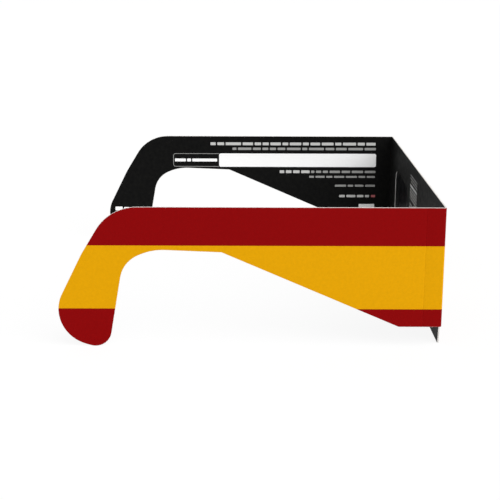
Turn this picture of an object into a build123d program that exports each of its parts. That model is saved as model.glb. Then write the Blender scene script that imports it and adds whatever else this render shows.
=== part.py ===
from build123d import *
import os

os.makedirs("parts", exist_ok=True)

# Folding board spectacles with two dark solar filters, standing open as they are worn.
# Millimetres. +Z is up, the wearer looks along -Y and the wearer's left side is +X.
# The origin is the middle of the footprint, level with the lower edge of the front.

# Overall sizes
front_width = 149.0  # over the outer faces of the two open temples
front_height = 49.0
temple_reach = 130.8  # from the outer face of the front to the back of a hook
hook_lift = 0.2  # the hooks end this far above the lower edge of the front
temple_drop = front_height - hook_lift  # from the top edge to the lowest point of a hook
lobe_height = 7.3  # the front reaches this far below the temples
temple_depth = front_height - lobe_height  # height of a temple where it leaves the front

# Board: an outer printed sheet, a thin core of glue or film, and an inner dark sheet
sheet = 0.24
core = 0.05
board = 2 * sheet + core
seam = 0.02  # gap between the ends of neighbouring sheets
glue_margin = 1.0  # the glue stops this far inside the board's edge

# Creases: each temple is joined to the front by a strip of board folded square
crease_inside = 0.3  # inside radius of the fold
crease_outside = crease_inside + board
score_distance = 6.6  # shallow second score line on each temple, from the front's outer face
score_width = 0.5
score_cut = 0.06

# Front: eye windows, filters behind them, and a notch for the nose
bridge_width = 33.0  # between the two windows
window_width = 40.0
eye_spacing = bridge_width + window_width  # between the middles of the two windows
window_sill = 11.0  # from the lower edge of the front to the window
window_head = 12.0  # from the window to the top edge
window_height = front_height - window_sill - window_head
window_round_share = 0.21  # of the window's height
window_nose_round_share = 0.44  # the lower corner beside the nose is rounder
film_overlap = 3.5  # film held between the sheets round each window
film_slack = 0.15  # room between the film's edge and the glue
nose_width = 34.0  # at the lower edge of the front
nose_height = 22.0
nose_top_width = 9.0
nose_top_round = 5.0
nose_foot_round = 4.0
lobe_inset = 3.2  # below the temples the front is narrower than its full width
lobe_taper = 1.0  # and draws in by this much more at its lower edge
lobe_round = 0.7

# Side outline of a temple, from the crease round the hook and back along the lower edge.
# Each corner has its place along the reach and down the drop, both as shares.
brow_corner_shares = (0.860, 0.0)
nape_corner_shares = (0.936, 0.334)
tip_corner_shares = (1.0415, 0.898)
heel_corner_shares = (0.872, 1.032)
ear_corner_shares = (0.8292, 0.3870)  # the curve above the ear turns sharply here
arch_corner_shares = (0.7535, 0.2992)  # and more gently here
elbow_corner_shares = (0.5747, 0.3181)
belly_corner_share = 0.1126
brow_round = 16.3
nape_round = 28.9
tip_round_share = 0.545  # of the straight distance between the tip and heel corners
heel_round_share = 0.245
ear_round_share = 0.97  # of the straight distance between the ear and arch corners
arch_round_share = 1.8
elbow_round = 1.0
belly_round = 1.0

# Places worked out from the sizes above
front_y = -temple_reach / 2  # outer face of the front
side_x = front_width / 2  # outer face of the left temple
fold_x = side_x - crease_outside  # the axis that each temple turns about
fold_y = front_y + crease_outside
lobe_x = side_x - lobe_inset
overrun = board  # cuts run this far past the solid they cut


def along(corner):
    """Point of the temple's outline for a pair of shares, as (y, z)."""
    return (front_y + corner[0] * temple_reach, front_height - corner[1] * temple_drop)


def draw_temple_outline(inset=0.0):
    """Draws the side view of a temple, drawn in by inset all round."""
    tip, heel = along(tip_corner_shares), along(heel_corner_shares)
    tip_to_heel = (Vector(*tip) - Vector(*heel)).length
    ear, arch = along(ear_corner_shares), along(arch_corner_shares)
    ear_to_arch = (Vector(*ear) - Vector(*arch)).length
    lower_edge = front_height - temple_depth
    corners = [
        along(brow_corner_shares),
        along(nape_corner_shares),
        tip,
        heel,
        ear,
        arch,
        along(elbow_corner_shares),
        (front_y + belly_corner_share * temple_reach, lower_edge),
    ]
    rounds = [
        brow_round,
        nape_round,
        tip_round_share * tip_to_heel,
        heel_round_share * tip_to_heel,
        ear_round_share * ear_to_arch,
        arch_round_share * ear_to_arch,
        elbow_round,
        belly_round,
    ]
    with BuildLine() as outline:
        start, end = (fold_y + seam, front_height), (fold_y + seam, lower_edge)
        edge = FilletPolyline(start, *corners, end, radius=rounds)
        Line(edge @ 1, edge @ 0)
    make_face(outline.edges())
    if inset:
        offset(amount=-inset, kind=Kind.INTERSECTION, mode=Mode.REPLACE)


def draw_front_outline(inset=0.0):
    """Draws the front seen from before or behind, with its nose notch, drawn in by inset."""
    temple_foot = front_height - temple_depth
    edge_x = fold_x - seam
    half = [
        (0, front_height),
        (edge_x, front_height),
        (edge_x, temple_foot),
        (lobe_x, temple_foot),
        (lobe_x - lobe_taper, 0),
        (0, 0),
    ]
    with BuildLine() as outline:
        Polyline(*half)
        mirror(about=Plane.YZ)
    make_face(outline.edges())
    fillet(vertices().group_by(Axis.Y)[0], radius=lobe_round)
    foot = nose_width / 2
    with BuildLine() as notch:
        FilletPolyline(
            (-foot, 0),
            (-nose_top_width / 2, nose_height),
            (nose_top_width / 2, nose_height),
            (foot, 0),
            radius=nose_top_round,
        )
        Line((foot, 0), (-foot, 0))
    make_face(notch.edges(), mode=Mode.SUBTRACT)
    nose_feet = vertices().group_by(Axis.Y)[0].sort_by(lambda v: abs(v.X))[:2]
    fillet(nose_feet, radius=nose_foot_round)
    if inset:
        offset(amount=-inset, kind=Kind.INTERSECTION, mode=Mode.REPLACE)


def draw_window(side, grow=0.0, mode=Mode.ADD):
    """Draws one eye window seen from the front, made larger by grow all round."""
    middle = side * eye_spacing / 2
    outer = middle + side * (window_width / 2 + grow)
    inner = middle - side * (window_width / 2 + grow)
    foot, top = window_sill - grow, window_sill + window_height + grow
    corners = [(outer, top), (outer, foot), (inner, foot), (inner, top)]
    plain_round = window_round_share * window_height + grow
    nose_round = window_nose_round_share * window_height + grow
    rounds = [plain_round, plain_round, nose_round, plain_round]
    with BuildLine() as outline:
        FilletPolyline(*corners, radius=rounds, close=True)
    make_face(outline.edges(), mode=mode)


def draw_crease(side, inside):
    """Draws one folded strip seen from above, with the given inside radius."""
    first_angle = 180 if side < 0 else 270
    centre = (side * fold_x, fold_y)
    with BuildLine() as strip:
        hollow_side = CenterArc(centre, inside, first_angle, 90)
        round_side = CenterArc(centre, inside + sheet, first_angle, 90)
        Line(hollow_side @ 0, round_side @ 0)
        Line(hollow_side @ 1, round_side @ 1)
    make_face(strip.edges())


def save(builder, name):
    builder.part.label = name
    export_step(builder.part, f"parts/{name}.step")


# Front: the printed cover and the dark liner are the same shape
for name, outer_y in (("front_cover", front_y), ("front_liner", front_y + sheet + core)):
    with BuildPart() as front_sheet:
        with BuildSketch(Plane.XZ.offset(-outer_y)):
            draw_front_outline()
            for side in (-1, 1):
                draw_window(side, mode=Mode.SUBTRACT)
        extrude(amount=-sheet)
    save(front_sheet, name)

# Glue between them, with a pocket for each filter
with BuildPart() as front_glue:
    with BuildSketch(Plane.XZ.offset(-(front_y + sheet))):
        draw_front_outline(inset=glue_margin)
        for side in (-1, 1):
            draw_window(side, grow=film_overlap + film_slack, mode=Mode.SUBTRACT)
    extrude(amount=-core)
save(front_glue, "front_glue")

# Each side: a filter, a temple of three layers, and the two strips of its crease
for side_name, side in (("right", -1), ("left", 1)):
    with BuildPart() as solar_filter:
        with BuildSketch(Plane.XZ.offset(-(front_y + sheet))):
            draw_window(side, grow=film_overlap)
        extrude(amount=-core)
    save(solar_filter, f"{side_name}_filter")

    with BuildPart() as temple_cover:
        with BuildSketch(Plane.YZ.offset(side * side_x)):
            draw_temple_outline()
        extrude(amount=-side * sheet)
        with BuildSketch(Plane.YZ.offset(side * side_x)):
            with Locations((front_y + score_distance, front_height - temple_depth / 2)):
                Rectangle(score_width, temple_depth + 2 * overrun)
        extrude(amount=-side * score_cut, mode=Mode.SUBTRACT)
    save(temple_cover, f"{side_name}_temple_cover")

    with BuildPart() as temple_glue:
        with BuildSketch(Plane.YZ.offset(side * (side_x - sheet))):
            draw_temple_outline(inset=glue_margin)
        extrude(amount=-side * core)
    save(temple_glue, f"{side_name}_temple_glue")

    with BuildPart() as temple_liner:
        with BuildSketch(Plane.YZ.offset(side * (side_x - sheet - core))):
            draw_temple_outline()
        extrude(amount=-side * sheet)
    save(temple_liner, f"{side_name}_temple_liner")

    for layer, inside in (("liner", crease_inside), ("cover", crease_outside - sheet)):
        with BuildPart() as crease_strip:
            with BuildSketch(Plane.XY.offset(front_height - temple_depth)):
                draw_crease(side, inside)
            extrude(amount=temple_depth)
        save(crease_strip, f"{side_name}_crease_{layer}")
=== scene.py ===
import math
import random

import bmesh
import bpy
from mathutils import Matrix, Vector


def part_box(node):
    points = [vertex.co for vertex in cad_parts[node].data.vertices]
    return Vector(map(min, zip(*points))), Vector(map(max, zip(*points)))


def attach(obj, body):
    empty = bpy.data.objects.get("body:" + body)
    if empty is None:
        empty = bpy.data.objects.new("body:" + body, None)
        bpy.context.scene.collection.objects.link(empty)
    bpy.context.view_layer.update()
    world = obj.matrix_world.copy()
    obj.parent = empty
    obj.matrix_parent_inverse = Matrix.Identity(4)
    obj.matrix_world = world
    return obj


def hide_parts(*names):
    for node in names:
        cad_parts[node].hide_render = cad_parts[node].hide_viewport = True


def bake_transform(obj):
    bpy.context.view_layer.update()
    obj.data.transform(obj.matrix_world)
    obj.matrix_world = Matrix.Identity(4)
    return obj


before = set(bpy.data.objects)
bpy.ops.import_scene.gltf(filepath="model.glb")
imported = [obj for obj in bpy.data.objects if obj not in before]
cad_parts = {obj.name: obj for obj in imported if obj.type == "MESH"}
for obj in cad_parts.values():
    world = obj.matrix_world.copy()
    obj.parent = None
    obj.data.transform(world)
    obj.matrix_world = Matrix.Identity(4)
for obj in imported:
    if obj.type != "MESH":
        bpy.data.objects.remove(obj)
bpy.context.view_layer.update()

# Folding board spectacles with dark solar filters, standing open as they are worn.
# Meshes are drawn in millimetres and placed in metres, in the frame's own axes:
# +Z is up, the wearer looks along -Y and the wearer's left side is +X.

mm = 0.001
tiny = 0.001  # millimetres, for comparing places
snap = tiny / 10  # a cut this close to a vertex goes through it
square = 0.99  # a face is square to an axis when its normal runs this much along it
sharpAngle = math.radians(25)  # edges that turn by more are shaded sharp
toLeft, toBack, toTop = Vector((1, 0, 0)), Vector((0, 1, 0)), Vector((0, 0, 1))


def boxInMm(node):
    low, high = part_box(node)
    return low / mm, high / mm


coverLow, coverHigh = boxInMm("front_cover")
linerLow, linerHigh = boxInMm("front_liner")
foldLow, foldHigh = boxInMm("left_crease_cover")

sheet = coverHigh.y - coverLow.y  # thickness of one sheet of board
board = linerHigh.y - coverLow.y  # both sheets and the glue between them
height = coverHigh.z
foldFoot = foldLow.z  # the temples and their folds end here, above the lower edge
foldX, foldY = foldLow.x, foldHigh.y  # the axis that a temple turns about
foldRound = foldHigh.x - foldLow.x  # outer radius of a fold
frontY, sideX = coverLow.y, foldHigh.x  # outer faces of the front and of a temple
sides = {"right": -1, "left": 1}
print("frame read: front", round(2 * sideX, 1), "mm wide and", round(height, 1), "mm high")


# Nodes and colours

def linear(hexText):
    # sRGB hex value to the linear colour that a socket takes
    parts = [int(hexText[i:i + 2], 16) / 255 for i in (1, 3, 5)]
    return [c / 12.92 if c <= 0.04045 else ((c + 0.055) / 1.055) ** 2.4 for c in parts] + [1.0]


def addNode(tree, kind, inputs=None, **settings):
    # inputs gives each socket its value, or the output or the node that feeds it
    node = tree.nodes.new(kind)
    for name, value in settings.items():
        setattr(node, name, value)
    for socket, value in (inputs or {}).items():
        if isinstance(value, bpy.types.Node):
            value = value.outputs[0]
        if isinstance(value, bpy.types.NodeSocket):
            tree.links.new(value, node.inputs[socket])
        else:
            node.inputs[socket].default_value = value
    return node


def newMaterial(name, constants):
    # A Principled material; constants are values that are the same all over the surface
    material = bpy.data.materials.new(name)
    material.use_nodes = True
    tree = material.node_tree
    tree.nodes.clear()
    shader = addNode(tree, "ShaderNodeBsdfPrincipled", constants)
    addNode(tree, "ShaderNodeOutputMaterial", {"Surface": shader})
    place = addNode(tree, "ShaderNodeTexCoord").outputs["Object"]
    return material, tree, shader, place


# Printed faces of the board. A pattern is given as millimetres across a patch, noise detail and
# noise roughness.

midNoise = (0.3, 0.7)  # most of a pattern's values lie between these

printedInk = {
    "red": "#830103",
    "yellow": "#d89b00",
    "bandFoot": 13.61,  # millimetres above the lower edge, where red turns yellow
    "bandTop": 35.79,
    "softness": 0.05,  # the ink's edge is this wide
    "stray": 0.02,  # and strays by this much to each side
    "strayPatches": (0.3, 3.0, 0.55),
    "gloss": 0.05,  # specular level
    "shine": (0.42, 0.56),  # roughness, where the varnish lies well and where it sank in
    "feltDepth": 0.012,
}

blackInk = {
    "thick": "#0e0e0e",
    "thin": "#151514",
    "patches": (1.8, 4.0, 0.55),
    "thinning": (0.35, 0.75),  # the pattern's values where the ink starts to thin, and is thin
    "gloss": 0.03,
    "shine": (0.5, 0.64),
    "feltDepth": 0.014,
}

boardSurface = {
    "mottle": (0.9, 3.0, 0.55),
    "mottleTone": (0.965, 1.035),  # the ink's colour is this much weaker or stronger
    "varnish": (2.4, 5.0, 0.55),
    "felt": (0.65, 4.0, 0.6),  # the fibres are finer; drawn as coarse as they need to show
    "feltStrength": 0.5,
}

rubbedRim = {
    "constants": {"Roughness": 0.7, "Specular IOR Level": 0.2},
    "bare": "#f2efeb",
    "cracks": (0.25, 4.0, 0.7),
    "opening": (0.43, 0.53),  # the pattern's values where a crack starts, and is open
}


def bandColours(tree, place):
    # Red, yellow and red across the height, with an edge as clean as offset printing gives
    size, detail, roughness = printedInk["strayPatches"]
    patches = addNode(tree, "ShaderNodeTexNoise", {
        "Vector": place, "Scale": 1 / (size * mm), "Detail": detail, "Roughness": roughness,
    })
    stray = addNode(tree, "ShaderNodeMapRange", {
        "Value": patches, "From Min": midNoise[0], "From Max": midNoise[1],
        "To Min": -printedInk["stray"] * mm, "To Max": printedInk["stray"] * mm,
    })
    level = addNode(tree, "ShaderNodeSeparateXYZ", {"Vector": place}).outputs["Z"]
    level = addNode(tree, "ShaderNodeMath", {0: level, 1: stray}, operation="ADD")
    half = printedInk["softness"] / 2
    steps = [
        addNode(tree, "ShaderNodeMapRange", {
            "Value": level, "From Min": (edge - half) * mm, "From Max": (edge + half) * mm,
        }, interpolation_type="SMOOTHSTEP")
        for edge in (printedInk["bandFoot"], printedInk["bandTop"])
    ]
    inside = addNode(tree, "ShaderNodeMath", {0: steps[0], 1: steps[1]}, operation="SUBTRACT")
    # 6 and 7 are the two colour sockets of a Mix node, and 2 is its colour output
    return addNode(tree, "ShaderNodeMix", {
        0: inside, 6: linear(printedInk["red"]), 7: linear(printedInk["yellow"]),
    }, data_type="RGBA").outputs[2]


def blackColour(tree, place):
    # Black ink is a little brown where it lies thin
    size, detail, roughness = blackInk["patches"]
    patches = addNode(tree, "ShaderNodeTexNoise", {
        "Vector": place, "Scale": 1 / (size * mm), "Detail": detail, "Roughness": roughness,
    })
    low, high = blackInk["thinning"]
    thin = addNode(tree, "ShaderNodeMapRange", {
        "Value": patches, "From Min": low, "From Max": high,
    })
    return addNode(tree, "ShaderNodeMix", {
        0: thin, 6: linear(blackInk["thick"]), 7: linear(blackInk["thin"]),
    }, data_type="RGBA").outputs[2]


def boardMaterial(name, ink, inkColour):
    # Mottled ink under uneven varnish, with the felt of the board in relief
    material, tree, shader, place = newMaterial(name, {"Specular IOR Level": ink["gloss"]})
    patterns = {}
    for pattern in ("mottle", "varnish", "felt"):
        size, detail, roughness = boardSurface[pattern]
        patterns[pattern] = addNode(tree, "ShaderNodeTexNoise", {
            "Vector": place, "Scale": 1 / (size * mm), "Detail": detail, "Roughness": roughness,
        })
    spans = {"mottle": boardSurface["mottleTone"], "varnish": ink["shine"]}
    for pattern, (low, high) in spans.items():
        patterns[pattern] = addNode(tree, "ShaderNodeMapRange", {
            "Value": patterns[pattern], "From Min": midNoise[0], "From Max": midNoise[1],
            "To Min": low, "To Max": high,
        })
    colour = addNode(tree, "ShaderNodeVectorMath", {
        0: inkColour(tree, place), 3: patterns["mottle"],
    }, operation="SCALE")
    bump = addNode(tree, "ShaderNodeBump", {
        "Height": patterns["felt"], "Strength": boardSurface["feltStrength"],
        "Distance": ink["feltDepth"] * mm,
    })
    tree.links.new(colour.outputs[0], shader.inputs["Base Color"])
    tree.links.new(patterns["varnish"].outputs[0], shader.inputs["Roughness"])
    tree.links.new(bump.outputs[0], shader.inputs["Normal"])
    return material


def rimMaterial(name, inkColour):
    # The rim that the die presses over: ink cracked by the cut, with white board in the gaps
    material, tree, shader, place = newMaterial(name, rubbedRim["constants"])
    size, detail, roughness = rubbedRim["cracks"]
    cracks = addNode(tree, "ShaderNodeTexNoise", {
        "Vector": place, "Scale": 1 / (size * mm), "Detail": detail, "Roughness": roughness,
    })
    low, high = rubbedRim["opening"]
    gaps = addNode(tree, "ShaderNodeMapRange", {
        "Value": cracks, "From Min": low, "From Max": high,
    })
    colour = addNode(tree, "ShaderNodeMix", {
        0: gaps, 6: inkColour(tree, place), 7: linear(rubbedRim["bare"]),
    }, data_type="RGBA")
    tree.links.new(colour.outputs[2], shader.inputs["Base Color"])
    return material


# Finishes made of one pattern. For each: the constants, the pattern, its values between which the
# first colour turns into the second, and both colours. Then, where it has them, two values of the
# pattern and the roughness at each, the relief's strength and its depth in millimetres, and the
# scale along Z that draws the patches out into lines.

patchyLooks = {
    # Bleached board where the die cut it: white and dry, with its layers of fibre in low relief
    "cut_board_edge": {
        "constants": {"Roughness": 0.85, "Specular IOR Level": 0.2},
        "patches": (0.22, 5.0, 0.65),
        "turn": (0.0, 1.0),
        "colours": ("#ebe8e3", "#fdfcfa"),
        "relief": (0.6, 0.03),
    },
    # The unprinted side of a sheet: grey-white and dry, with dull patches where glue soaked in
    "unprinted_board": {
        "constants": {"Roughness": 0.8},
        "patches": (4.0, 4.0, 0.55),
        "turn": (0.45, 0.6),
        "colours": ("#e9e6e0", "#d3cdc2"),
    },
    # White wood glue dried clear: amber-grey, glossy in the middle and dull where it soaked in
    "dried_white_glue": {
        "constants": {"IOR": 1.47},
        "patches": (3.0, 5.0, 0.55),
        "turn": (0.0, 1.0),
        "colours": ("#b9ad94", "#d8d0bd"),
        "shine": (0.35, 0.65, 0.2, 0.6),
    },
}

# Carbon-filled polymer film: near black with faint drawn lines, glossy outside and duller towards
# the eye
filmSides = {
    # specular level, and the lowest and highest roughness
    "glossy_black_film": (0.12, 0.12, 0.2),
    "dull_black_film": (0.02, 0.26, 0.36),
}
for name, (gloss, smooth, dull) in filmSides.items():
    patchyLooks[name] = {
        "constants": {"Specular IOR Level": gloss},
        "patches": (0.5, 4.0, 0.55),
        "turn": (0.0, 1.0),
        "colours": ("#050506", "#131316"),
        "shine": (*midNoise, smooth, dull),
        "relief": (0.3, 0.004),
        "drawnOut": 0.08,
    }

# Ink screened over the black: nearly flat, and a little thinner on the board's high fibres
screenInks = {
    "white_screen_ink": ("#ffffff", "#f4f4f2"),
    "pale_screen_ink": ("#c6c6c4", "#9e9e9c"),
    "grey_screen_ink": ("#9a9a98", "#747472"),
    "red_screen_ink": ("#b46468", "#8a4a4c"),
}
for name, colours in screenInks.items():
    patchyLooks[name] = {
        "constants": {"Roughness": 0.55, "Specular IOR Level": 0.2},
        "patches": (0.45, 4.0, 0.65),
        "turn": (0.58, 0.75),
        "colours": colours,
    }


def patchyMaterial(name):
    look = patchyLooks[name]
    material, tree, shader, place = newMaterial(name, look["constants"])
    if "drawnOut" in look:
        scale = (1.0, 1.0, look["drawnOut"])
        place = addNode(tree, "ShaderNodeMapping", {"Vector": place, "Scale": scale})
    size, detail, roughness = look["patches"]
    patches = addNode(tree, "ShaderNodeTexNoise", {
        "Vector": place, "Scale": 1 / (size * mm), "Detail": detail, "Roughness": roughness,
    })
    low, high = look["turn"]
    share = addNode(tree, "ShaderNodeMapRange", {
        "Value": patches, "From Min": low, "From Max": high,
    })
    first, second = (linear(colour) for colour in look["colours"])
    colour = addNode(tree, "ShaderNodeMix", {0: share, 6: first, 7: second}, data_type="RGBA")
    tree.links.new(colour.outputs[2], shader.inputs["Base Color"])
    if "shine" in look:
        low, high, smooth, dull = look["shine"]
        shine = addNode(tree, "ShaderNodeMapRange", {
            "Value": patches, "From Min": low, "From Max": high, "To Min": smooth, "To Max": dull,
        })
        tree.links.new(shine.outputs[0], shader.inputs["Roughness"])
    if "relief" in look:
        strength, depth = look["relief"]
        bump = addNode(tree, "ShaderNodeBump", {
            "Height": patches, "Strength": strength, "Distance": depth * mm,
        })
        tree.links.new(bump.outputs[0], shader.inputs["Normal"])
    return material


finishes = {
    # Offset-printed solid bleached board under a dull varnish: strong even ink, a weak broad shine
    "printed": boardMaterial("printed_bleached_board", printedInk, bandColours),
    "printedRim": rimMaterial("rubbed_printed_rim", bandColours),
    # The same board printed solid black and sealed matt: deep, and a little paler at a flat angle
    "dark": boardMaterial("black_printed_board", blackInk, blackColour),
    "darkRim": rimMaterial("rubbed_black_rim", blackColour),
    "cut": patchyMaterial("cut_board_edge"),
    "back": patchyMaterial("unprinted_board"),
    "glue": patchyMaterial("dried_white_glue"),
    "film": patchyMaterial("glossy_black_film"),
    "filmInside": patchyMaterial("dull_black_film"),
    "whiteInk": patchyMaterial("white_screen_ink"),
    "paleInk": patchyMaterial("pale_screen_ink"),
    "greyInk": patchyMaterial("grey_screen_ink"),
    "redInk": patchyMaterial("red_screen_ink"),
}
print("materials made:", len(finishes))


# Tools that several pieces share

def placing(across, up, out, where):
    # Turns the drawing's u, v and w onto three axes of the frame, and takes it to metres
    turn = Matrix((across, up, out)).transposed().to_4x4()
    return Matrix.Translation(Vector(where) * mm) @ Matrix.Scale(mm, 4) @ turn


def linkObject(name, data):
    made = bpy.data.objects.new(name, data)
    bpy.context.scene.collection.objects.link(made)
    return made


def makePiece(bm, name, place, materials):
    bmesh.ops.transform(bm, matrix=place, verts=bm.verts)
    bmesh.ops.remove_doubles(bm, verts=bm.verts, dist=tiny * mm)
    bmesh.ops.recalc_face_normals(bm, faces=bm.faces)
    mesh = bpy.data.meshes.new(name)
    bm.to_mesh(mesh)
    bm.free()
    for material in materials:
        mesh.materials.append(finishes[material])
    mesh.set_sharp_from_angle(angle=sharpAngle)
    return linkObject(name, mesh)


def raiseFaces(bm, tall):
    # Pulls flat faces up into a closed slab
    wall = bmesh.ops.extrude_face_region(bm, geom=bm.faces)
    raised = [part for part in wall["geom"] if isinstance(part, bmesh.types.BMVert)]
    bmesh.ops.translate(bm, verts=raised, vec=(0, 0, tall))


def cutAcross(bm, where, line):
    # Adds edges where a plane crosses the mesh
    parts = bm.verts[:] + bm.edges[:] + bm.faces[:]
    bmesh.ops.bisect_plane(bm, geom=parts, dist=snap, plane_co=where, plane_no=line)


# Sheets of board

dieCut = {
    "rimWidth": 0.05,  # the die rounds the rim over this width
    "rimDrop": 0.03,
    "arcStep": math.radians(4),
    "leastSteps": 3,  # in the smallest arc
    "seam": 0.02,  # the sheets stop this far short of a fold
}

windowShape = {
    "width": 40.0,
    "bridge": 33.0,  # between the two windows
    "foot": 11.0,  # from the lower edge of the front
    "head": 12.0,  # from the top edge
    "roundShare": 0.21,  # of the window's height
    "noseRoundShare": 0.44,  # the lower corner beside the nose
}

frontShape = {
    "noseWidth": 34.0,
    "noseHeight": 22.0,
    "noseTopWidth": 9.0,
    "noseTopRound": 5.0,
    "noseFootRound": 4.0,
    "lobeInset": 3.2,  # below the temples the front is this much narrower
    "lobeTaper": 1.0,
    "lobeRound": 0.7,
}

templeShape = {
    "hookLift": 0.2,  # the hooks end this far above the lower edge of the front
    # Corners, as shares along the reach and down the drop, some with their round in millimetres
    "brow": (0.860, 0.0, 16.3),
    "nape": (0.936, 0.334, 28.9),
    "tip": (1.0415, 0.898),
    "heel": (0.872, 1.032),
    "ear": (0.8292, 0.3870),  # the curve above the ear turns sharply here
    "arch": (0.7535, 0.2992),  # and more gently here
    "elbow": (0.5747, 0.3181, 1.0),
    "bellyShare": 0.1126,
    "bellyRound": 1.0,
    "tipRoundShare": 0.545,  # of the straight distance between the tip and heel corners
    "heelRoundShare": 0.245,
    "earRoundShare": 0.97,  # of the straight distance between the ear and arch corners
    "archRoundShare": 1.8,
    "scoreFrom": 6.6,  # a shallow score line this far from the front's outer face
    "scoreWidth": 0.5,
    "scoreDepth": 0.06,
    "scoreSteps": 8,  # across the score's width
}

faceSlot, backSlot, edgeSlot, rimSlot = range(4)
printedStack = ("printed", "back", "cut", "printedRim")  # in the order of the slots
darkStack = ("dark", "back", "cut", "darkRim")


def traceLoop(bm, corners):
    # Goes round the corners, each (u, v, round), with an exact arc where there is a round
    first = last = None
    for index, (u, v, rounding) in enumerate(corners):
        here = Vector((u, v, 0))
        before = (Vector((*corners[index - 1][:2], 0)) - here).normalized()
        after = (Vector((*corners[(index + 1) % len(corners)][:2], 0)) - here).normalized()
        turn = math.pi - before.angle(after)
        start = end = bm.verts.new(here + before * rounding * math.tan(turn / 2))
        if rounding:
            centre = here + (before + after).normalized() * rounding / math.cos(turn / 2)
            way = math.copysign(turn, after.cross(before).z)
            steps = max(dieCut["leastSteps"], math.ceil(turn / dieCut["arcStep"]))
            spun = bmesh.ops.spin(
                bm, geom=[start], cent=centre, axis=(0, 0, 1), angle=way, steps=steps
            )
            end = spun["geom_last"][0]
        if last:
            bm.edges.new((last, start))
        first = first or start
        last = end
    bm.edges.new((last, first))


def cutSheet(loops, seams):
    # A sheet lying on z = 0, its face up, with rounded rims; a fold carries on at the seams
    bm = bmesh.new()
    for corners in loops:
        traceLoop(bm, corners)
    bmesh.ops.triangle_fill(bm, edges=bm.edges, use_beauty=True, normal=(0, 0, 1))
    drop, width = dieCut["rimDrop"], dieCut["rimWidth"]
    bmesh.ops.translate(bm, verts=bm.verts, vec=(0, 0, drop))
    raiseFaces(bm, sheet - 2 * drop)
    bmesh.ops.recalc_face_normals(bm, faces=bm.faces)
    for face in bm.faces:
        face.material_index = edgeSlot
        face.smooth = True
    for slot, way in ((faceSlot, 1), (backSlot, -1)):
        flat = [face for face in bm.faces if face.normal.z * way > square]
        rim = bmesh.ops.inset_region(
            bm, faces=flat, thickness=width, depth=drop, use_boundary=True, use_even_offset=True
        )
        for face in rim["faces"]:
            face.material_index = rimSlot
            face.smooth = True
        for face in flat:
            face.material_index = slot
            face.smooth = False
    for vert in bm.verts:
        for edge in seams:
            if abs(vert.co.x - edge) < 2 * width and vert.co.y > foldFoot - tiny:
                vert.co.x = edge
    for face in bm.faces:
        # The ink runs on over a fold, so the sheets' ends beside it are inked too
        if any(all(abs(vert.co.x - edge) < tiny for vert in face.verts) for edge in seams):
            face.material_index = faceSlot
            face.smooth = False
    return bm


def pressScore(bm, place):
    # Presses a shallow rounded valley across the face of a sheet
    half, steps = templeShape["scoreWidth"] / 2, templeShape["scoreSteps"]
    for step in range(steps + 1):
        cutAcross(bm, (place + half * (2 * step / steps - 1), 0, 0), (1, 0, 0))
    for vert in bm.verts:
        away = abs(vert.co.x - place) / half
        if away < 1 and vert.co.z > sheet / 2:
            vert.co.z -= templeShape["scoreDepth"] * (1 + math.cos(math.pi * away)) / 2


def windowCorners(side):
    shape = windowShape
    inner = side * shape["bridge"] / 2
    outer = inner + side * shape["width"]
    foot, top = shape["foot"], height - shape["head"]
    plain, nose = (shape[name] * (top - foot) for name in ("roundShare", "noseRoundShare"))
    return [(outer, top, plain), (outer, foot, plain), (inner, foot, nose), (inner, top, plain)]


def frontCorners():
    shape = frontShape
    edge, lobe = foldX - dieCut["seam"], sideX - shape["lobeInset"]
    half = [
        (shape["noseTopWidth"] / 2, shape["noseHeight"], shape["noseTopRound"]),
        (shape["noseWidth"] / 2, 0, shape["noseFootRound"]),
        (lobe - shape["lobeTaper"], 0, shape["lobeRound"]),
        (lobe, foldFoot, 0),
        (edge, foldFoot, 0),
        (edge, height, 0),
    ]
    return half + [(-u, v, rounding) for u, v, rounding in reversed(half)]


def templeCorners():
    shape = templeShape
    reach, drop = -2 * frontY, height - shape["hookLift"]

    def at(name):
        along, down = shape[name][:2]
        return frontY + along * reach, height - down * drop

    start = foldY + dieCut["seam"]
    tip, heel, ear, arch = at("tip"), at("heel"), at("ear"), at("arch")
    tipToHeel, earToArch = math.dist(tip, heel), math.dist(ear, arch)
    return [
        (start, height, 0),
        (*at("brow"), shape["brow"][2]),
        (*at("nape"), shape["nape"][2]),
        (*tip, shape["tipRoundShare"] * tipToHeel),
        (*heel, shape["heelRoundShare"] * tipToHeel),
        (*ear, shape["earRoundShare"] * earToArch),
        (*arch, shape["archRoundShare"] * earToArch),
        (*at("elbow"), shape["elbow"][2]),
        (frontY + shape["bellyShare"] * reach, foldFoot, shape["bellyRound"]),
        (start, foldFoot, 0),
    ]


frontLoops = [frontCorners()] + [windowCorners(side) for side in sides.values()]
frontLayers = (
    ("front_printed_sheet", "front_cover", "printed_board", printedStack, -toBack, coverHigh.y),
    ("front_dark_sheet", "front_liner", "dark_board", darkStack, toBack, linerLow.y),
)
for name, node, slot, stack, out, y in frontLayers:
    bm = cutSheet(frontLoops, (dieCut["seam"] - foldX, foldX - dieCut["seam"]))
    piece = makePiece(bm, name, placing(toLeft, toTop, out, (0, y, 0)), stack)
    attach(piece, "front")
    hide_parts(node)

for sideName, side in sides.items():
    outward = toLeft * side
    templeLayers = (
        ("printed_sheet", "cover", "printed_board", printedStack, outward, sideX - sheet),
        ("dark_sheet", "liner", "dark_board", darkStack, -outward, sideX - board + sheet),
    )
    for ending, layer, slot, stack, out, x in templeLayers:
        bm = cutSheet([templeCorners()], (foldY + dieCut["seam"],))
        if layer == "cover":
            pressScore(bm, frontY + templeShape["scoreFrom"])
        place = placing(toBack, toTop, out, (side * x, 0, 0))
        piece = makePiece(bm, f"{sideName}_temple_{ending}", place, stack)
        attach(piece, f"{sideName}_temple")
        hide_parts(f"{sideName}_temple_{layer}")
print("sheets of board cut")


# Folds: each temple turns on a strip of board that bends between it and the front

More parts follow.
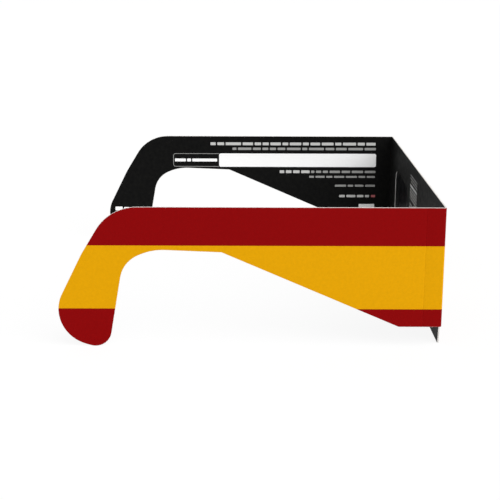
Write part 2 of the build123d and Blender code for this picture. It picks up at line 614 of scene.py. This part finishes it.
foldShape = {
    "endTurn": 33.0,  # degrees, turned at each end in few steps
    "endSteps": 5,
    "middleTurn": 24.0,  # the stretch that does most of the bending
    "middleSteps": 36,
    "tuck": 0.01,  # the strips are this much shorter than the sheets, above and below
    "faceLean": 0.3,  # the strip's two faces lean up or down by less than this
    "rimLean": 0.9,  # and its rims by less than this
}


def foldStrip(inside):
    # A quarter ring with rims like the sheets', from the front's end at -Y to the temple's at +X
    outside, foot = inside + sheet, foldFoot + foldShape["tuck"]
    drop, width = dieCut["rimDrop"], dieCut["rimWidth"]
    half = [
        (inside, foot + width),
        (inside + drop, foot),
        (outside - drop, foot),
        (outside, foot + width),
    ]
    section = half + [(r, foldFoot + height - z) for r, z in reversed(half)]
    bm = bmesh.new()
    last = [bm.faces.new([bm.verts.new((0, -r, z)) for r, z in section])]
    for stretch in ("end", "middle", "end"):
        turn, steps = math.radians(foldShape[f"{stretch}Turn"]), foldShape[f"{stretch}Steps"]
        spun = bmesh.ops.spin(
            bm, geom=last, cent=(0, 0, 0), axis=(0, 0, 1), angle=turn, steps=steps
        )
        last = [part for part in spun["geom_last"] if isinstance(part, bmesh.types.BMFace)]
    # The second and third spins leave the face that they started from inside the strip
    inner = [face for face in bm.faces if all(len(edge.link_faces) > 2 for edge in face.edges)]
    bmesh.ops.delete(bm, geom=inner, context="FACES_ONLY")
    return bm


def inkStrip(bm, middleRound, inkedOutside):
    # The ink is on one side of a strip and on its ends, as on the sheets beside it
    for face in bm.faces:
        middle = face.calc_center_median().to_2d()
        end = abs(face.normal.to_2d().dot(middle.normalized())) < tiny
        inked = end or (middle.length > middleRound) == inkedOutside
        lean = abs(face.normal.z)
        face.smooth = True
        if lean < foldShape["faceLean"]:
            face.material_index = faceSlot if inked else backSlot
        else:
            face.material_index = rimSlot if lean < foldShape["rimLean"] else edgeSlot


for sideName, side in sides.items():
    strips = (
        ("printed_strip", "cover", "printed_board", printedStack, foldRound - sheet),
        ("dark_strip", "liner", "dark_board", darkStack, foldRound - board),
    )
    for ending, layer, slot, stack, inside in strips:
        bm = foldStrip(inside)
        inkStrip(bm, inside + sheet / 2, layer == "cover")
        place = placing(toLeft * side, toBack, toTop, (side * foldX, foldY, 0))
        piece = makePiece(bm, f"{sideName}_fold_{ending}", place, stack)
        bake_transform(piece)
        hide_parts(f"{sideName}_crease_{layer}")
print("folds made")


# Films: one behind each window, held flat round its edge and gently rippled inside it

filmShape = {
    "cell": 1.5,  # millimetres between the lines that the ripples bend along
    "ripple": 0.09,
    "settle": 5.0,  # the ripples die away this far from the window's edge
    "waves": (
        # turns per millimetre outwards and upwards, where the wave starts, share of the ripple
        (0.045, 0.012, 0.4, 1.0),
        (0.018, -0.071, 1.9, 0.55),
        (-0.083, 0.05, 2.7, 0.3),
    ),
    "flatWithin": math.radians(1),  # the CAD's triangles are joined where they are this flat
    "eyeSide": 0.5,  # faces turned this much towards the eye have the duller finish
}


def rippleAt(x, z, side):
    return sum(
        share * math.sin(2 * math.pi * (x * side * outwards + z * upwards) + start)
        for outwards, upwards, start, share in filmShape["waves"]
    )


def rippledFilm(node, side):
    bm = bmesh.new()
    bm.from_mesh(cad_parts[node].data)
    bmesh.ops.remove_doubles(bm, verts=bm.verts, dist=tiny * mm)
    bmesh.ops.scale(bm, vec=(1 / mm,) * 3, verts=bm.verts)
    flat = filmShape["flatWithin"]
    bmesh.ops.dissolve_limit(bm, angle_limit=flat, verts=bm.verts, edges=bm.edges)
    low, high = boxInMm(node)
    for axis, line in ((0, toLeft), (2, toTop)):
        span = high[axis] - low[axis]
        cells = round(span / filmShape["cell"])
        for step in range(1, cells):
            cutAcross(bm, line * (low[axis] + span * step / cells), line)
    inner = windowShape["bridge"] / 2
    outer = inner + windowShape["width"]
    foot, top = windowShape["foot"], height - windowShape["head"]
    for vert in bm.verts:
        x, z = abs(vert.co.x), vert.co.z
        inward = min(x - inner, outer - x, z - foot, top - z)
        share = min(max(inward / filmShape["settle"], 0), 1)
        ease = share * share * (3 - 2 * share)
        vert.co.y += filmShape["ripple"] * ease * rippleAt(vert.co.x, z, side)
    for face in bm.faces:
        face.smooth = True
        face.material_index = 1 if face.normal.y > filmShape["eyeSide"] else 0
    return bm


for sideName, side in sides.items():
    bm = rippledFilm(f"{sideName}_filter", side)
    piece = makePiece(bm, f"{sideName}_film", Matrix.Scale(mm, 4), ("film", "filmInside"))
    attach(piece, "front")
    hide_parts(f"{sideName}_filter")

for node in ("front_glue", "right_temple_glue", "left_temple_glue"):
    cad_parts[node].material_slots[0].material = finishes["glue"]
print("films and glue finished")


# Print: plain bars stand where the small print is, and the writing box stays empty

inkShape = {
    "thickness": 0.012,  # above the board
    "sunk": 0.004,  # into the board
    "barRound": 0.22,
    "barRoundShare": 0.4,  # at most this share of a bar's height
    "roundSteps": 4,
    "wordGap": 0.75,
    "shortest": 0.3,  # of a row's longest bar
    "leastRest": 1.0,  # a shorter rest of a row stays empty
    "leastWord": 1.5,  # and a rest shorter than this joins the bar before it
    "templeSeed": 7,
    "bridgeSeed": 8,
}

writingBox = {
    "from": 7.6,  # millimetres from the front's outer face
    "labelFrom": 79.85,
    "labelGap": 0.03,  # keeps the two shapes apart
    "to": 101.0,
    "top": 8.0,  # millimetres below the top edge
    "foot": 14.2,
    "round": 0.75,
    "labelRound": 1.15,
    "line": 0.22,
    "labelBars": ((80.8, 92.2), (92.8, 94.6), (95.2, 100.2)),
    "labelBarHeight": 1.35,
}

templeInks = ("whiteInk", "paleInk", "greyInk", "redInk")
templeLines = (
    # from and to along the temple, middle's distance below the top edge, height, longest bar, ink
    (8.0, 83.8, 3.5, 1.3, 8.0, "paleInk"),
    (7.8, 73.7, 5.8, 1.1, 7.0, "greyInk"),
    (7.7, 37.4, 16.45, 1.1, 7.0, "greyInk"),
    (38.1, 51.9, 16.45, 1.3, 5.0, "paleInk"),
    (7.9, 38.3, 18.8, 0.9, 6.0, "greyInk"),
    (7.7, 26.3, 22.95, 0.95, 5.0, "greyInk"),
    (10.3, 24.2, 27.85, 1.1, 5.0, "paleInk"),
)
templePatches = (
    # from, to, top and foot below the top edge, ink
    (7.8, 15.0, 31.6, 36.4, "whiteInk"),
    (7.5, 9.4, 27.3, 28.4, "redInk"),
    (124.9, 128.2, 33.2, 35.0, "whiteInk"),
    (121.7, 124.2, 33.4, 35.0, "whiteInk"),
)

bridgeInks = ("greyInk", "paleInk")
bridgePatch = {
    "from": -8.8,
    "to": 9.8,
    "headings": (
        # the middle's distance below the top edge, height, longest bar, ink
        (5.2, 0.5, 5.0, "greyInk"),
        (6.4, 0.5, 4.0, "greyInk"),
        (7.6, 0.5, 5.0, "greyInk"),
        (9.35, 1.0, 6.0, "paleInk"),
    ),
    "rowsFrom": 10.9,
    "rows": 11,
    "rowPitch": 1.2,
    "rowHeight": 0.45,
    "longest": 3.2,
    "rowsInParagraph": 5,
    "lastRowShare": (0.35, 0.7),  # a paragraph's last row fills this much of the width
}


def addBar(bm, ends, top, foot, rounding, slot=0):
    start, end = ends
    middle = Matrix.Translation(((start + end) / 2, (top + foot) / 2, sheet - inkShape["sunk"]))
    size = Matrix.Diagonal((end - start, top - foot, 1, 1))
    made = bmesh.ops.create_grid(bm, x_segments=1, y_segments=1, size=0.5, matrix=middle @ size)
    made["verts"][0].link_faces[0].material_index = slot
    bmesh.ops.bevel(
        bm, geom=made["verts"], offset=rounding, offset_type="OFFSET", affect="VERTICES",
        segments=inkShape["roundSteps"], profile=0.5, material=-1,
    )


def addWords(bm, chance, ends, middle, tall, longest, slot):
    # A row of bars of uneven lengths that fills the line
    here, end = ends
    rounding = min(inkShape["barRound"], tall * inkShape["barRoundShare"])
    while here < end - inkShape["leastRest"]:
        length = min(chance.uniform(longest * inkShape["shortest"], longest), end - here)
        if end - here - length < inkShape["leastWord"]:
            length = end - here
        addBar(bm, (here, here + length), middle + tall / 2, middle - tall / 2, rounding, slot)
        here += length + inkShape["wordGap"]


def along(start, end):
    return frontY + start, frontY + end


def addLabel(bm, top, foot):
    # A round-cornered outline behind the writing box, whose two lines run up to the box
    box = writingBox
    before = set(bm.faces)
    ends = along(box["labelFrom"] - 2 * box["labelRound"], box["to"])
    addBar(bm, ends, top, foot, box["labelRound"], templeInks.index("greyInk"))
    label = [face for face in bm.faces if face not in before]
    rim = bmesh.ops.inset_region(
        bm, faces=label, thickness=box["line"], use_boundary=True, use_even_offset=True
    )["faces"]
    bmesh.ops.delete(bm, geom=label, context="FACES")
    edges = {edge for face in rim for edge in face.edges}
    parts = rim + list(edges) + list({vert for edge in edges for vert in edge.verts})
    stop = frontY + box["labelFrom"] + box["labelGap"]
    bmesh.ops.bisect_plane(
        bm, geom=parts, dist=snap, plane_co=(stop, 0, 0), plane_no=(1, 0, 0), clear_inner=True
    )


def templePrint():
    chance = random.Random(inkShape["templeSeed"])
    bm = bmesh.new()
    for start, end, down, tall, longest, ink in templeLines:
        slot = templeInks.index(ink)
        addWords(bm, chance, along(start, end), height - down, tall, longest, slot)
    for start, end, top, foot, ink in templePatches:
        ends, slot = along(start, end), templeInks.index(ink)
        addBar(bm, ends, height - top, height - foot, inkShape["barRound"], slot)
    box = writingBox
    top, foot = height - box["top"], height - box["foot"]
    addBar(bm, along(box["from"], box["labelFrom"]), top, foot, box["round"])
    middle, tall = (top + foot) / 2, box["labelBarHeight"]
    for start, end in box["labelBars"]:
        ends = along(start, end)
        addBar(bm, ends, middle + tall / 2, middle - tall / 2, inkShape["barRound"])
    addLabel(bm, top, foot)
    raiseFaces(bm, inkShape["sunk"] + inkShape["thickness"])
    return bm


def bridgePrint():
    chance = random.Random(inkShape["bridgeSeed"])
    bm = bmesh.new()
    patch = bridgePatch
    start, end = patch["from"], patch["to"]
    for down, tall, longest, ink in patch["headings"]:
        addWords(bm, chance, (start, end), height - down, tall, longest, bridgeInks.index(ink))
    tall, longest, slot = patch["rowHeight"], patch["longest"], bridgeInks.index("paleInk")
    for row in range(patch["rows"]):
        down = patch["rowsFrom"] + patch["rowPitch"] * row
        stop = end
        if (row + 1) % patch["rowsInParagraph"] == 0:
            stop = start + (end - start) * chance.uniform(*patch["lastRowShare"])
        addWords(bm, chance, (start, stop), height - down, tall, longest, slot)
    raiseFaces(bm, inkShape["sunk"] + inkShape["thickness"])
    return bm


place = placing(toBack, toTop, -toLeft, (sideX - board + sheet, 0, 0))
piece = makePiece(templePrint(), "left_temple_print", place, templeInks)
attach(piece, "left_temple")

place = placing(toLeft, toTop, toBack, (0, linerLow.y, 0))
piece = makePiece(bridgePrint(), "bridge_print", place, bridgeInks)
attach(piece, "front")
print("print laid on")


# Floor, light and camera

studio = {
    "floorRadius": 6.0,  # metres
    "floorSides": 64,
    "floorShare": 0.11,  # how much of the floor's white comes from the light on it
    "floorTone": 0.8,  # the floor's own tone, for the light that it throws back
    "skyLight": 0.5,  # the room's light on the object; the room itself is seen as white, 1
    "sunLight": 0.84,  # a white surface that faces the lamp sends this back
    "sunFrom": (-0.7, -0.65, 0.9),
    "sunSpread": 60,  # degrees
}

camera = {
    # The viewpoint that the photograph was taken from, in metres and degrees
    "place": (-0.4457, 0.000416, 0.13253),
    "heading": -0.033,  # from +X towards +Y
    "dip": 14.815,
    "roll": 0.177,
    "focalPixels": 1143.0,
    "imagePixels": 500,
    "sensor": 36.0,  # millimetres
    "nearest": 0.01,
}


def whiteRays(tree):
    # 1 for the rays that see the white room itself: the camera's, and those that gloss or film
    # passes on
    rays = addNode(tree, "ShaderNodeLightPath").outputs
    passed = addNode(tree, "ShaderNodeMath", {
        0: rays["Is Glossy Ray"], 1: rays["Is Transmission Ray"],
    }, operation="MAXIMUM")
    return addNode(tree, "ShaderNodeMath", {
        0: rays["Is Camera Ray"], 1: passed,
    }, operation="MAXIMUM")


scene = bpy.context.scene

bm = bmesh.new()
bmesh.ops.create_circle(
    bm, cap_ends=True, radius=studio["floorRadius"], segments=studio["floorSides"]
)
mesh = bpy.data.meshes.new("floor")
bm.to_mesh(mesh)
bm.free()
floor = linkObject("floor", mesh)

floorMaterial = bpy.data.materials.new("white_studio_floor")
floorMaterial.use_nodes = True
tree = floorMaterial.node_tree
tree.nodes.clear()
share, tone = studio["floorShare"], studio["floorTone"]
lit = addNode(tree, "ShaderNodeBsdfDiffuse", {"Color": (share, share, share, 1)})
glow = addNode(tree, "ShaderNodeEmission", {"Color": (1, 1, 1, 1), "Strength": 1 - share})
shown = addNode(tree, "ShaderNodeAddShader", {0: lit, 1: glow})
plain = addNode(tree, "ShaderNodeBsdfDiffuse", {"Color": (tone, tone, tone, 1)})
above = addNode(tree, "ShaderNodeMixShader", {0: whiteRays(tree), 1: plain, 2: shown})
under = addNode(tree, "ShaderNodeBsdfTransparent")  # views from below look through the floor
facing = addNode(tree, "ShaderNodeNewGeometry").outputs["Backfacing"]
whole = addNode(tree, "ShaderNodeMixShader", {0: facing, 1: above, 2: under})
addNode(tree, "ShaderNodeOutputMaterial", {"Surface": whole})
mesh.materials.append(floorMaterial)

world = bpy.data.worlds.new("white_room")
world.use_nodes = True
tree = world.node_tree
tree.nodes.clear()
strength = addNode(tree, "ShaderNodeMapRange", {
    "Value": whiteRays(tree), "To Min": studio["skyLight"], "To Max": 1.0,
})
sky = addNode(tree, "ShaderNodeBackground", {"Color": (1, 1, 1, 1), "Strength": strength})
addNode(tree, "ShaderNodeOutputWorld", {"Surface": sky})
scene.world = world

sun = bpy.data.lights.new("soft_lamp", "SUN")
sun.energy = studio["sunLight"] * math.pi
sun.angle = math.radians(studio["sunSpread"])
lamp = linkObject("soft_lamp", sun)
lamp.rotation_euler = Vector(studio["sunFrom"]).to_track_quat("Z", "Y").to_euler()

lens = bpy.data.cameras.new("photo_camera")
lens.sensor_width = camera["sensor"]
lens.lens = camera["sensor"] * camera["focalPixels"] / camera["imagePixels"]
lens.clip_start = camera["nearest"]
view = linkObject("photo_camera", lens)
turns = (
    # an unturned camera looks straight down, with +Y at its top
    (camera["heading"] - 90, "Z"),
    (90 - camera["dip"], "X"),
    (camera["roll"], "Z"),
)
stance = Matrix.Translation(camera["place"])
for degrees, axis in turns:
    stance = stance @ Matrix.Rotation(math.radians(degrees), 4, axis)
view.matrix_world = stance
scene.camera = view

scene.view_settings.view_transform = "Standard"
print("floor, light and camera set")
